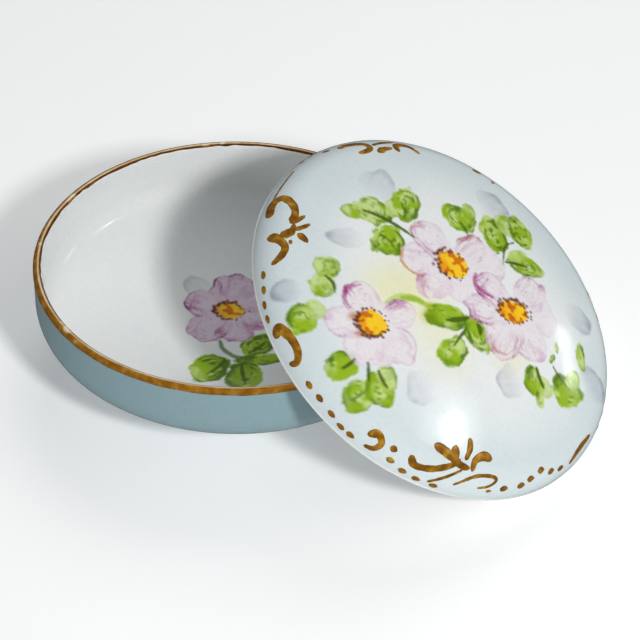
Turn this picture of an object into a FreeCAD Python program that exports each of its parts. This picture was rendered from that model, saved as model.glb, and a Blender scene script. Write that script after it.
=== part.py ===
"""Porcelain trinket box: a round footed dish and the domed lid that leans against it.

Frame: +Z up, the origin at the centre of the dish's foot on the surface that it stands on.
+X points from the dish towards the lid.  Millimetres and degrees.
"""
import FreeCAD, Part
import math
import os
import Sketcher

os.makedirs("parts", exist_ok=True)
doc = FreeCAD.newDocument("trinket_box")

# ---------------------------------------------------------------- driving dimensions
sheet = doc.addObject("Spreadsheet::Sheet", "Dimensions")

DIMENSIONS = [
    # dish
    ("rim_radius", 60.0, "outer radius of the dish at its rim"),
    ("dish_height", 36.2, "from the surface under the foot to the top of the rim"),
    ("wall", 2.4, "thickness of the dish's wall and floor"),
    ("shoulder_level", 24.6, "height at which the wall starts to curve under"),
    ("shoulder_radius", 10.0, "outer radius of that curve"),
    ("base_radius", 125.0, "radius of the shallow curve of the base"),
    ("foot_outer", 30.0, "outer radius of the foot ring"),
    ("foot_inner", 26.6, "inner radius of the foot ring"),
    ("foot_rounding", 0.8, "rounding of the foot ring's edges"),
    # gilding on the rim
    ("gilding", 0.15, "thickness of the fired gold band"),
    ("gilding_drop", 1.6, "how far the band reaches down from the top of the rim"),
    # lid
    ("lid_radius", 59.2, "outer radius of the lid"),
    ("lid_height", 16.2, "from the lid's rim plane to the top of its dome"),
    ("lid_edge", 1.6, "height of the upright edge under the dome"),
    ("lid_shoulder", 9.0, "outer radius of the dome's shoulder"),
    ("lid_wall", 3.0, "thickness of the dome"),
    ("lid_rounding", 0.8, "rounding of the lid's lower edge"),
    ("flange_root", 55.2, "outer radius, at the lid, of the ring that locates it in the dish"),
    ("flange_end", 52.8, "outer radius of that tapered ring at its end"),
    ("flange_wall", 2.8, "thickness of the ring at its end"),
    ("flange_depth", 5.5, "how far the ring reaches below the rim plane"),
    ("hollow_corner", 6.0, "radius between the ring and the inside of the dome"),
    # how the lid leans
    ("lean_tilt", 31.5, "angle between the lid's rim plane and the surface"),
    ("lean_turn", -5.5, "direction of the tilt, about the vertical"),
    ("lean_reach", 60.7, "from the dish's axis to the centre of the lid's rim plane"),
]
for row, (alias, value, meaning) in enumerate(DIMENSIONS, start=1):
    sheet.set(f"A{row}", alias)
    sheet.set(f"B{row}", str(value))
    sheet.set(f"C{row}", meaning)
    sheet.setAlias(f"B{row}", alias)
doc.recompute()


def size(alias):
    """A driving dimension from the sheet."""
    return float(sheet.get(alias))


# ---------------------------------------------------------------- helpers
START, END, CENTRE = 1, 2, 3
HORIZONTAL_AXIS, VERTICAL_AXIS = -1, -2


def origin_plane(body, role):
    for feature in body.Origin.OriginFeatures:
        if feature.Role == role:
            return feature
    raise ValueError(role)


def new_body(label):
    body = doc.addObject("PartDesign::Body", label)
    body.Label = label
    return body


def upright_sketch(body, name):
    """A sketch on the XZ plane: its x is the radius, its y is the height."""
    sketch = body.newObject("Sketcher::SketchObject", name)
    sketch.AttachmentSupport = [(origin_plane(body, "XZ_Plane"), "")]
    sketch.MapMode = "FlatFace"
    return sketch


def line(sketch, x1, y1, x2, y2):
    segment = Part.LineSegment(FreeCAD.Vector(x1, y1, 0), FreeCAD.Vector(x2, y2, 0))
    return sketch.addGeometry(segment, False)


def arc(sketch, x, y, radius, first, last):
    """An arc about (x, y), anticlockwise from the first angle to the last, in degrees."""
    circle = Part.Circle(FreeCAD.Vector(x, y, 0), FreeCAD.Vector(0, 0, 1), radius)
    return sketch.addGeometry(
        Part.ArcOfCircle(circle, math.radians(first), math.radians(last)), False)


def join(sketch, first, first_end, second, second_end):
    sketch.addConstraint(
        Sketcher.Constraint("Coincident", first, first_end, second, second_end))


def join_smoothly(sketch, first, first_end, second, second_end):
    sketch.addConstraint(
        Sketcher.Constraint("Tangent", first, first_end, second, second_end))


def on_axis(sketch, item, end):
    sketch.addConstraint(Sketcher.Constraint("PointOnObject", item, end, VERTICAL_AXIS))


def upright(sketch, *items):
    for item in items:
        sketch.addConstraint(Sketcher.Constraint("Vertical", item))


def bind(sketch, kind, *geometry, to, start):
    """A named dimension of the sketch, bound to an expression over the sheet."""
    index = sketch.addConstraint(Sketcher.Constraint(kind, *geometry, start))
    sketch.setExpression(f"Constraints[{index}]", to)


def at_radius(sketch, item, end, to, start):
    bind(sketch, "DistanceX", HORIZONTAL_AXIS, START, item, end, to=to, start=start)


def at_height(sketch, item, end, to, start):
    bind(sketch, "DistanceY", HORIZONTAL_AXIS, START, item, end, to=to, start=start)


def revolve(body, sketch, name):
    solid = body.newObject("PartDesign::Revolution", name)
    solid.Profile = sketch
    solid.ReferenceAxis = (sketch, ["V_Axis"])
    solid.Angle = 360.0
    sketch.Visibility = False
    body.Tip = solid
    doc.recompute()
    return solid


def circle_edges(feature, radius, height):
    """Names of the circular edges with this radius at this height."""
    names = []
    for number, edge in enumerate(feature.Shape.Edges, start=1):
        box = edge.optimalBoundingBox()
        flat = box.ZLength < 0.01 and abs(box.ZMin - height) < 0.01
        if flat and abs(box.XMax - radius) < 0.01 and abs(box.YMax - radius) < 0.01:
            names.append(f"Edge{number}")
    if not names:
        raise ValueError(f"no circular edge at radius {radius}, height {height}")
    return names


def round_edges(body, base, name, edges, radius):
    fillet = body.newObject("PartDesign::Fillet", name)
    fillet.Base = (base, edges)
    fillet.setExpression("Radius", radius)
    body.Tip = fillet
    doc.recompute()
    return fillet


# ---------------------------------------------------------------- dish
def make_dish():
    """A shallow bowl of even thickness: upright rim, round shoulder, shallow base, foot ring."""
    rim, height, wall = size("rim_radius"), size("dish_height"), size("wall")
    level, shoulder, base = size("shoulder_level"), size("shoulder_radius"), size("base_radius")
    foot_out, foot_in = size("foot_outer"), size("foot_inner")
    # the base's curve touches the shoulder's from outside, with its centre on the axis
    shoulder_centre = rim - shoulder
    slope = math.asin(shoulder_centre / (base - shoulder))
    base_centre = level + (base - shoulder) * math.cos(slope)
    turn = -90.0 + math.degrees(slope)
    lip = height - wall / 2

    def under(radius):
        return base_centre - math.sqrt(base ** 2 - radius ** 2)

    def under_angle(radius):
        return -90.0 + math.degrees(math.asin(radius / base))

    body = new_body("dish")
    sketch = upright_sketch(body, "DishProfile")
    middle = line(sketch, 0, base_centre - base + wall, 0, base_centre - base)
    recess = arc(sketch, 0, base_centre, base, -90.0, under_angle(foot_in))
    foot_inside = line(sketch, foot_in, under(foot_in), foot_in, 0)
    foot_face = line(sketch, foot_in, 0, foot_out, 0)
    foot_outside = line(sketch, foot_out, 0, foot_out, under(foot_out))
    underside = arc(sketch, 0, base_centre, base, under_angle(foot_out), turn)
    outer_curve = arc(sketch, shoulder_centre, level, shoulder, turn, 0.0)
    outer_wall = line(sketch, rim, level, rim, lip)
    rim_round = arc(sketch, rim - wall / 2, lip, wall / 2, 0.0, 180.0)
    inner_wall = line(sketch, rim - wall, lip, rim - wall, level)
    inner_curve = arc(sketch, shoulder_centre, level, shoulder - wall, turn, 0.0)
    floor = arc(sketch, 0, base_centre, base - wall, -90.0, turn)

    join(sketch, middle, END, recess, START)
    join(sketch, recess, END, foot_inside, START)
    join(sketch, foot_inside, END, foot_face, START)
    join(sketch, foot_face, END, foot_outside, START)
    join(sketch, foot_outside, END, underside, START)
    join_smoothly(sketch, underside, END, outer_curve, START)
    join_smoothly(sketch, outer_curve, END, outer_wall, START)
    join_smoothly(sketch, outer_wall, END, rim_round, START)
    join_smoothly(sketch, rim_round, END, inner_wall, START)
    join_smoothly(sketch, inner_wall, END, inner_curve, END)
    join_smoothly(sketch, inner_curve, START, floor, END)
    join(sketch, floor, START, middle, START)
    join(sketch, inner_curve, CENTRE, outer_curve, CENTRE)
    join(sketch, recess, CENTRE, underside, CENTRE)
    upright(sketch, foot_inside, foot_outside, outer_wall)
    sketch.addConstraint(Sketcher.Constraint("Equal", recess, underside))
    for item, end in ((middle, START), (middle, END), (underside, CENTRE), (floor, CENTRE)):
        on_axis(sketch, item, end)
    for end in (START, END):
        sketch.addConstraint(
            Sketcher.Constraint("PointOnObject", foot_face, end, HORIZONTAL_AXIS))
    at_radius(sketch, outer_wall, END, "Dimensions.rim_radius", rim)
    at_radius(sketch, rim_round, END, "Dimensions.rim_radius - Dimensions.wall", rim - wall)
    at_height(sketch, rim_round, CENTRE, "Dimensions.dish_height - Dimensions.wall / 2", lip)
    at_height(sketch, outer_curve, CENTRE, "Dimensions.shoulder_level", level)
    bind(sketch, "Radius", outer_curve, to="Dimensions.shoulder_radius", start=shoulder)
    bind(sketch, "Radius", underside, to="Dimensions.base_radius", start=base)
    at_radius(sketch, foot_inside, END, "Dimensions.foot_inner", foot_in)
    at_radius(sketch, foot_outside, START, "Dimensions.foot_outer", foot_out)
    doc.recompute()

    bowl = revolve(body, sketch, "DishRevolution")
    corners = circle_edges(bowl, foot_in, 0.0) + circle_edges(bowl, foot_out, 0.0)
    round_edges(body, bowl, "FootRounding", corners, "Dimensions.foot_rounding")
    return body


# ---------------------------------------------------------------- gilding on the rim
def make_dish_gilding():
    """The fired gold band: a thin skin over the top of the rim and a little down each side."""
    rim, height, wall = size("rim_radius"), size("dish_height"), size("wall")
    skin, drop = size("gilding"), size("gilding_drop")
    lip, low, middle = height - wall / 2, height - drop, rim - wall / 2

    body = new_body("dish_gilding")
    sketch = upright_sketch(body, "GildingProfile")
    outer_side = line(sketch, rim + skin, low, rim + skin, lip)
    outer_round = arc(sketch, middle, lip, wall / 2 + skin, 0.0, 180.0)
    inner_side = line(sketch, rim - wall - skin, lip, rim - wall - skin, low)
    inner_end = line(sketch, rim - wall - skin, low, rim - wall, low)
    inner_face = line(sketch, rim - wall, low, rim - wall, lip)
    inner_round = arc(sketch, middle, lip, wall / 2, 0.0, 180.0)
    outer_face = line(sketch, rim, lip, rim, low)
    outer_end = line(sketch, rim, low, rim + skin, low)

    join_smoothly(sketch, outer_side, END, outer_round, START)
    join_smoothly(sketch, outer_round, END, inner_side, START)
    join(sketch, inner_side, END, inner_end, START)
    join(sketch, inner_end, END, inner_face, START)
    join_smoothly(sketch, inner_face, END, inner_round, END)
    join_smoothly(sketch, inner_round, START, outer_face, START)
    join(sketch, outer_face, END, outer_end, START)
    join(sketch, outer_end, END, outer_side, START)
    join(sketch, inner_round, CENTRE, outer_round, CENTRE)
    upright(sketch, outer_side, outer_face)
    for item in (inner_end, outer_end):
        sketch.addConstraint(Sketcher.Constraint("Horizontal", item))
    at_radius(sketch, outer_face, END, "Dimensions.rim_radius", rim)
    at_radius(sketch, inner_face, START, "Dimensions.rim_radius - Dimensions.wall", rim - wall)
    at_radius(sketch, outer_side, START, "Dimensions.rim_radius + Dimensions.gilding",
              rim + skin)
    at_height(sketch, outer_round, CENTRE, "Dimensions.dish_height - Dimensions.wall / 2", lip)
    for item in (outer_end, inner_end):
        at_height(sketch, item, END, "Dimensions.dish_height - Dimensions.gilding_drop", low)
    doc.recompute()
    revolve(body, sketch, "GildingRevolution")
    return body


# ---------------------------------------------------------------- lid
def make_lid():
    """A low dome with a round shoulder, and a ring under it that drops into the dish.

    The lid is drawn with its rim plane at height 0 and its axis upright, then leaned.
    """
    radius, height, edge = size("lid_radius"), size("lid_height"), size("lid_edge")
    shoulder, wall = size("lid_shoulder"), size("lid_wall")
    root, ring_wall, depth = size("flange_root"), size("flange_wall"), size("flange_depth")
    corner = size("hollow_corner")
    # crown: centre on the axis, touching the shoulder's curve from outside
    reach, rise = radius - shoulder, height - edge
    crown = (reach ** 2 + rise ** 2 - shoulder ** 2) / (2 * (rise - shoulder))
    crown_centre = height - crown
    crown_angle = math.degrees(math.atan2(edge - crown_centre, reach))
    # hollow: the same crown less the wall, and a corner that runs into the ring's inside
    ceiling = crown - wall
    ring_inside = size("flange_end") - ring_wall
    corner_reach = ring_inside - corner
    corner_level = crown_centre + math.sqrt((ceiling - corner) ** 2 - corner_reach ** 2)
    ceiling_angle = math.degrees(math.atan2(corner_level - crown_centre, corner_reach))
    # ring: a round end, touched by its upright inside and its tapered outside
    ring_round = ring_wall / 2
    ring_middle, ring_level = ring_inside + ring_round, ring_round - depth
    taper_length = math.hypot(root - ring_middle, ring_level)
    taper_angle = math.degrees(
        math.atan2(-ring_level, root - ring_middle) - math.acos(ring_round / taper_length))
    taper_x = ring_middle + ring_round * math.cos(math.radians(taper_angle))
    taper_y = ring_level + ring_round * math.sin(math.radians(taper_angle))

    body = new_body("lid")
    sketch = upright_sketch(body, "LidProfile")
    middle = line(sketch, 0, height - wall, 0, height)
    dome = arc(sketch, 0, crown_centre, crown, crown_angle, 90.0)
    dome_shoulder = arc(sketch, reach, edge, shoulder, 0.0, crown_angle)
    side = line(sketch, radius, edge, radius, 0)
    seat = line(sketch, radius, 0, root, 0)
    ring_outside = line(sketch, root, 0, taper_x, taper_y)
    ring_end = arc(sketch, ring_middle, ring_level, ring_round, 180.0, 360.0 + taper_angle)
    ring_face = line(sketch, ring_inside, ring_level, ring_inside, corner_level)
    hollow_corner = arc(sketch, corner_reach, corner_level, corner, 0.0, ceiling_angle)
    hollow = arc(sketch, 0, crown_centre, ceiling, ceiling_angle, 90.0)

    join(sketch, middle, END, dome, END)
    join_smoothly(sketch, dome, START, dome_shoulder, END)
    join_smoothly(sketch, dome_shoulder, START, side, START)
    join(sketch, side, END, seat, START)
    join(sketch, seat, END, ring_outside, START)
    join_smoothly(sketch, ring_outside, END, ring_end, END)
    join_smoothly(sketch, ring_end, START, ring_face, START)
    join_smoothly(sketch, ring_face, END, hollow_corner, START)
    join_smoothly(sketch, hollow_corner, END, hollow, START)
    join(sketch, hollow, END, middle, START)
    join(sketch, hollow, CENTRE, dome, CENTRE)
    upright(sketch, side, ring_face)
    for item, end in ((middle, START), (middle, END), (dome, CENTRE)):
        on_axis(sketch, item, end)
    for end in (START, END):
        sketch.addConstraint(Sketcher.Constraint("PointOnObject", seat, end, HORIZONTAL_AXIS))
    at_radius(sketch, side, END, "Dimensions.lid_radius", radius)
    at_height(sketch, dome_shoulder, CENTRE, "Dimensions.lid_edge", edge)
    bind(sketch, "Radius", dome_shoulder, to="Dimensions.lid_shoulder", start=shoulder)
    at_height(sketch, middle, END, "Dimensions.lid_height", height)
    at_height(sketch, middle, START, "Dimensions.lid_height - Dimensions.lid_wall",
              height - wall)
    at_radius(sketch, ring_outside, START, "Dimensions.flange_root", root)
    at_radius(sketch, ring_face, START, "Dimensions.flange_end - Dimensions.flange_wall",
              ring_inside)
    at_radius(sketch, ring_end, CENTRE, "Dimensions.flange_end - Dimensions.flange_wall / 2",
              ring_middle)
    at_height(sketch, ring_end, CENTRE, "Dimensions.flange_wall / 2 - Dimensions.flange_depth",
              ring_level)
    bind(sketch, "Radius", hollow_corner, to="Dimensions.hollow_corner", start=corner)
    doc.recompute()

    dome_solid = revolve(body, sketch, "LidRevolution")
    round_edges(body, dome_solid, "LidRounding", circle_edges(dome_solid, radius, 0.0),
                "Dimensions.lid_rounding")
    return body


def lean(body):
    """Lean the lid: its locating ring stands on the surface and leans on the dish's rim."""
    tilt = math.radians(size("lean_tilt"))
    ring_round = size("flange_wall") / 2
    level = ((size("flange_end") - ring_round) * math.sin(tilt)
             + (size("flange_depth") - ring_round) * math.cos(tilt) + ring_round)
    turned = FreeCAD.Rotation(FreeCAD.Vector(0, 0, 1), size("lean_turn"))
    tilted = FreeCAD.Rotation(FreeCAD.Vector(0, 1, 0), size("lean_tilt"))
    body.Placement = FreeCAD.Placement(
        FreeCAD.Vector(size("lean_reach"), 0, level), turned.multiply(tilted))


# ---------------------------------------------------------------- build, check, export
dish = make_dish()
dish_gilding = make_dish_gilding()
lid = make_lid()
lean(lid)
doc.recompute()

for item in doc.Objects:
    if {"Invalid", "Error"} & set(item.State):
        raise RuntimeError(f"{item.Name} failed: {item.State}")
for piece in (dish, dish_gilding, lid):
    shape = piece.Shape
    if shape.isNull() or not shape.isValid() or len(shape.Solids) != 1:
        raise RuntimeError(f"{piece.Label} is not one valid solid")
    box = shape.optimalBoundingBox()
    print(f"{piece.Label}: {shape.Volume / 1000:.1f} cm3, "
          f"x {box.XMin:.2f}..{box.XMax:.2f}, y {box.YMin:.2f}..{box.YMax:.2f}, "
          f"z {box.ZMin:.2f}..{box.ZMax:.2f}")
    shape.exportStep(f"parts/{piece.Label}.step")
for first, second in ((dish, lid), (dish_gilding, lid)):
    gap = first.Shape.distToShape(second.Shape)[0]
    print(f"{first.Label} to {second.Label}: {gap:.2f} mm")
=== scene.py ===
"""Looks of the porcelain trinket box: glaze, hand painting, gilding, light and camera.

The porcelain is turned on a lathe in mesh code, on the same outlines as the CAD parts, and
painted point by point.  Lengths are in millimetres until a mesh is made; Blender gets metres.
Painted things are placed in a flat drawing: (across, up) in millimetres from the piece's axis.
A direction in the drawing is in degrees, 0 across to the right and 90 up.
"""
import math

import bpy
import numpy as np
from mathutils import Matrix, Vector


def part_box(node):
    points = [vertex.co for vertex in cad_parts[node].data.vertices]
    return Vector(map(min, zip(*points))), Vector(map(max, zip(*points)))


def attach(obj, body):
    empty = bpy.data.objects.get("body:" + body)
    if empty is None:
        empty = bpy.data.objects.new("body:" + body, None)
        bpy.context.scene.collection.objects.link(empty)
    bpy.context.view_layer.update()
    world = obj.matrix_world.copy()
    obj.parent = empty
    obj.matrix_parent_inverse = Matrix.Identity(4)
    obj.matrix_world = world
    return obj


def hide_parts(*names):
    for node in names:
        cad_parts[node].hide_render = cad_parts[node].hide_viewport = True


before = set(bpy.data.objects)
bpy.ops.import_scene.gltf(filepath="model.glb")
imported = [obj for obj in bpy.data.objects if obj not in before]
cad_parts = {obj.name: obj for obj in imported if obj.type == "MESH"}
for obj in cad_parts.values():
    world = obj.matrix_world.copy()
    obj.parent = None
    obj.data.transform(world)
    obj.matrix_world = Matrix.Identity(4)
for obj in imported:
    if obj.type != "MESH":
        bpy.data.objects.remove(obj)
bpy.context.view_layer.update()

MM = 0.001
TINY = 1e-6

# ---- sizes
dish_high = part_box("dish")[1] / MM
DISH_HEIGHT = dish_high.z
WALL = 2.4
RIM_RADIUS = dish_high.x
RIM_ROUND = WALL / 2
RIM_LEVEL = DISH_HEIGHT - RIM_ROUND
SHOULDER_LEVEL = 24.6
SHOULDER_ROUND = 10.0
BASE_ROUND = 125.0
FOOT_OUTER = 30.0
FOOT_INNER = 26.6
FOOT_ROUND = 0.8
GILDING = 0.15
GILDING_DROP = 1.6

# the lid's radius and height are 0.04 less than the CAD part's, so that this finer mesh stays
# inside the CAD's flat facets; its other sizes are the CAD part's
LID_RADIUS = 59.16
LID_HEIGHT = 16.16
LID_EDGE = 1.6
LID_SHOULDER = 9.0
LID_WALL = 3.0
LID_ROUND = 0.8
RING_ROOT = 55.2
RING_END = 52.8
RING_TIP_ROUND = 1.4
RING_DEPTH = 5.5
HOLLOW_CORNER = 6.0

# how the lid leans: the far edge of its ring stands on the ground
LEAN_TILT = math.radians(31.5)
LEAN_TURN = math.radians(-5.5)
LEAN_REACH = 60.7
LEAN_LEVEL = ((RING_END - RING_TIP_ROUND) * math.sin(LEAN_TILT)
              + (RING_DEPTH - RING_TIP_ROUND) * math.cos(LEAN_TILT) + RING_TIP_ROUND)

# how far the flat drawings are turned about the lid's and the dish's axis
LID_DRAWING_TURN = math.radians(50)
DISH_DRAWING_TURN = math.radians(20)

# curves worked out from those sizes; a MIDDLE is where an arc is centred
SHOULDER_MIDDLE = RIM_RADIUS - SHOULDER_ROUND
BASE_MIDDLE = SHOULDER_LEVEL + math.sqrt((BASE_ROUND - SHOULDER_ROUND) ** 2 - SHOULDER_MIDDLE ** 2)
BASE_SLOPE = math.asin(SHOULDER_MIDDLE / (BASE_ROUND - SHOULDER_ROUND))
LID_MIDDLE = LID_RADIUS - LID_SHOULDER
DOME_RISE = LID_HEIGHT - LID_EDGE
CROWN_ROUND = ((LID_MIDDLE ** 2 + DOME_RISE ** 2 - LID_SHOULDER ** 2)
               / (2 * (DOME_RISE - LID_SHOULDER)))
CROWN_MIDDLE = LID_HEIGHT - CROWN_ROUND
CROWN_SLOPE = math.asin(LID_MIDDLE / (CROWN_ROUND - LID_SHOULDER))
CROWN_END = CROWN_ROUND * math.sin(CROWN_SLOPE)
DOME_LENGTH = CROWN_ROUND * CROWN_SLOPE + LID_SHOULDER * (math.pi / 2 - CROWN_SLOPE)
SKIN = 0.4      # how far under the dome a point still counts as the lid's outside


# ---- colour
def srgb(red, green, blue):
    """Linear colour of a swatch given from 0 to 255."""
    swatch = np.array([red, green, blue]) / 255
    return np.where(swatch <= 0.04045, swatch / 12.92, ((swatch + 0.055) / 1.055) ** 2.4)


PORCELAIN = srgb(240, 242, 241)
LID_WHITE = srgb(238, 240, 239)
BORDER_BLUE = srgb(205, 224, 229)
# the dish's outside: a pale blue made darker than the lid's border blue, as painted shade
SHADED_OUTSIDE_BLUE = srgb(146, 172, 179)
PETAL = srgb(255, 244, 249)
# the dish flower's petal ground: pink, deepened as painted shade
SHADED_PETAL = srgb(236, 208, 230)
PETAL_WASH = srgb(224, 176, 214)
MAGENTA = srgb(176, 40, 132)
MAUVE = srgb(196, 112, 176)
ROSE_BROWN = srgb(196, 122, 104)
OCHRE = srgb(206, 140, 44)
YOLK = srgb(255, 206, 34)
ORANGE = srgb(240, 148, 10)
RUST = srgb(200, 104, 20)
STAMEN = srgb(110, 44, 14)
LEAF_LIGHT = srgb(196, 218, 118)
LEAF = srgb(150, 186, 30)
LEAF_DARK = srgb(74, 116, 12)
LEMON = srgb(214, 214, 24)
VEIN = srgb(72, 96, 8)
SHADOW_LEAF = srgb(222, 222, 228)
SHADOW_EDGE = srgb(178, 178, 194)
# pale colour of bare porcelain where the rim's gold is gone, also used for the painted highlight strip
# along the rim's top
PALE_WEAR_AND_SHEEN = srgb(246, 236, 214)
# dark gold for the painted dark reflection along the rim's inner edge
DARK_REFLECTION_GOLD = srgb(116, 68, 12)
GLOW = srgb(255, 251, 208)


# ---- numbers
def smooth(low, high, value):
    """0 up to low, 1 from high on, and an even curve between."""
    share = np.clip((value - low) / (high - low), 0, 1)
    return share * share * (3 - 2 * share)


# where the drawing's middle, and a brush mark's start, fall in the noise
DRAWING_SHIFT = 90
MARK_SHIFT = 60


def grain(across, up, size, seed):
    """Even noise from 0 to 1 whose lumps are about `size` across."""
    cells = np.random.default_rng(seed).random((64, 64))
    x, y = across / size, up / size
    column, row = np.floor(x).astype(int), np.floor(y).astype(int)
    right, above = smooth(0, 1, x - column), smooth(0, 1, y - row)
    at = lambda i, j: cells[(row + j) % 64, (column + i) % 64]
    below_value = at(0, 0) * (1 - right) + at(1, 0) * right
    above_value = at(0, 1) * (1 - right) + at(1, 1) * right
    return below_value * (1 - above) + above_value * above


def arc(middle, radius, start, end, step):
    """Points along an arc, (r, z), from one angle to another in degrees, the first one left out."""
    count = max(2, round(abs(math.radians(end - start)) * radius / step))
    angles = np.radians(np.linspace(start, end, count + 1)[1:])
    return [(middle[0] + radius * math.cos(a), middle[1] + radius * math.sin(a)) for a in angles]


def straight(start, end, step):
    """Points along a straight line, the first one left out."""
    count = max(1, round(math.dist(start, end) / step))
    start, whole = np.array(start), np.array(end) - np.array(start)
    return [tuple(start + whole * k / count) for k in range(1, count + 1)]


# ---- meshes
def placed(name, data):
    """An object in the scene, from its data."""
    thing = bpy.data.objects.new(name, data)
    bpy.context.scene.collection.objects.link(thing)
    return thing


def mesh_object(name, vertices, faces):
    """A smooth mesh object from points in millimetres in the shared frame."""
    mesh = bpy.data.meshes.new(name)
    mesh.from_pydata((np.asarray(vertices) * MM).tolist(), [], faces)
    mesh.shade_smooth()
    mesh.update()
    return placed(name, mesh)


def ring_count(radius, spacing, most):
    """How many points a ring has: doubled outwards, so that they stay about `spacing` apart."""
    count = 40
    while count < most and 2 * math.pi * radius / count > spacing:
        count *= 2
    return count


def lathe(outline, spacing):
    """Points and faces of a turned shape whose outline starts and ends on the axis.
    spacing(radius, level) gives how far apart a ring's points are and the most it may have."""
    points, faces, rings = [], [], []
    for radius, level in outline:
        if radius < TINY:
            rings.append([len(points)])
            points.append((0.0, 0.0, level))
            continue
        count = ring_count(radius, *spacing(radius, level))
        first = len(points)
        for k in range(count):
            angle = 2 * math.pi * k / count
            points.append((radius * math.cos(angle), radius * math.sin(angle), level))
        rings.append(list(range(first, first + count)))
    for near, far in zip(rings, rings[1:]):
        faces += band(near, far)
    return np.array(points), faces


def band(near, far):
    """Faces between two rings, where one may have one point, or twice the other's points."""
    if len(near) == 1:
        return [(near[0], far[k], far[(k + 1) % len(far)]) for k in range(len(far))]
    if len(far) == 1:
        return [(near[(k + 1) % len(near)], near[k], far[0]) for k in range(len(near))]
    faces = []
    if len(near) == len(far):
        for k in range(len(near)):
            after = (k + 1) % len(near)
            faces.append((near[k], far[k], far[after], near[after]))
        return faces
    flip = len(near) > len(far)
    few, many = (far, near) if flip else (near, far)
    for k in range(len(few)):
        here, after = few[k], few[(k + 1) % len(few)]
        first, half_way, last = many[2 * k], many[2 * k + 1], many[(2 * k + 2) % len(many)]
        fan = [(here, first, half_way), (here, half_way, after), (after, half_way, last)]
        faces += [face[::-1] for face in fan] if flip else fan
    return faces


# ---- painting
class Canvas:
    """The paint on a mesh's points, placed by their (across, up) in the flat drawing.
    allowed says which points may be painted."""

    def __init__(self, points, turn, colour, allowed):
        self.ground = colour[0].copy()
        x, y = points[:, 0], points[:, 1]
        self.across = x * math.cos(turn) + y * math.sin(turn)
        self.up = -x * math.sin(turn) + y * math.cos(turn)
        self.colour = colour
        self.allowed = allowed

    def near(self, place, reach):
        """The points that may be painted within reach of a place."""
        far = np.hypot(self.across - place[0], self.up - place[1])
        return np.nonzero(self.allowed & (far < reach))[0]

    def local(self, where, place, towards):
        """Distances out from a place along a direction in degrees, and to its left."""
        a = math.radians(towards)
        dx, dy = self.across[where] - place[0], self.up[where] - place[1]
        return dx * math.cos(a) + dy * math.sin(a), -dx * math.sin(a) + dy * math.cos(a)

    def lay(self, where, cover, pigment):
        """Thin china paint: it darkens what is under it."""
        self.colour[where] *= 1 + cover[:, None] * (pigment - 1)

    def body(self, where, cover, pigment):
        """Thicker paint: it covers what is under it."""
        self.colour[where] += cover[:, None] * (pigment - self.colour[where])

    def noise(self, where, size, seed):
        """Noise over the drawing."""
        return grain(self.across[where] + DRAWING_SHIFT, self.up[where] + DRAWING_SHIFT, size, seed)


def mark_grain(along, over, size, seed):
    """Noise for the bristle marks of one brush mark, in its own directions."""
    return grain(along + MARK_SHIFT, over + MARK_SHIFT, size, seed)


def paint_each(mark, canvas, first_seed, shapes):
    """Paints marks of one kind, each with the next seed."""
    for seed, shape in enumerate(shapes, first_seed):
        mark(canvas, seed, *shape)


WIDEST = 0.60       # where along a petal it is widest


def petal(canvas, seed, heart, towards, length, width, strength, lean, edge=MAUVE, inner=PETAL):
    """One petal, pale inside with a darker edge, and streaks outwards and along its outline.
    strength is how deep its colours are.  lean, from -1 to 1, puts more of the edge's colour
    on its right or left."""
    where = canvas.near(heart, length * 1.4)
    out, side = canvas.local(where, heart, towards)
    wobble = canvas.noise(where, 3.2, seed) - 0.5
    share = out / length + wobble * 0.12
    opening = 0.34 + 0.66 * np.sin(math.pi / 2 * np.clip(share / WIDEST, 0, 1))
    closing = np.sqrt(np.clip(1 - (np.clip(share - WIDEST, 0, None) / (1 - WIDEST)) ** 2, 0, 1))
    half = width / 2 * opening * closing * (1 + 0.22 * wobble)
    inside = np.minimum(half - np.abs(side), (1 - share) * length)
    fan = side / (0.35 + np.clip(share, 0.05, 1))
    rays = mark_grain(fan, out * 0.14, 0.62, seed + 1)
    rings = mark_grain(inside, fan * 0.12 + out * 0.10, 0.55, seed + 6)
    streak = np.where(rays > rings, 0.75 * rays + 0.25 * rings, 0.25 * rays + 0.75 * rings)
    fleck = canvas.noise(where, 0.5, seed + 2)
    patch = canvas.noise(where, 3.4, seed + 3)
    mask = smooth(-0.2, 0.45, inside + 0.5 * (streak - 0.5)) * smooth(0.0, 0.12, share)
    sided = np.clip(0.5 + 0.9 * lean * side / (width / 2), 0, 1.3)
    wash = (1 - smooth(0.8, 0.62 * width, inside)) * smooth(0.15, 0.5, share) * (0.25 + 0.75 * sided)
    rim = (1 - smooth(0.0, 1.5, inside)) * smooth(0.35, 0.62, share)
    brushed = smooth(0.46, 0.82, 0.6 * streak + 0.4 * patch)
    canvas.body(where, mask * 0.80, canvas.ground)
    canvas.lay(where, mask * 0.75, inner)
    canvas.lay(where, mask * np.clip(wash * (0.06 + 0.9 * brushed) * strength, 0, 1), PETAL_WASH)
    deeper = wash * sided * brushed * (0.3 + fleck) * (strength - 0.45)
    canvas.lay(where, mask * np.clip(deeper, 0, 1), edge)
    outline = rim * (0.3 + 0.8 * sided) * (0.3 + 0.8 * patch) * (0.4 + 0.8 * fleck) * strength
    canvas.lay(where, mask * np.clip(outline, 0, 0.9), edge)
    dots = smooth(0.82, 0.93, fleck) * smooth(0.25, 0.5, share)
    canvas.lay(where, mask * dots * 0.35 * strength, edge)


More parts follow.
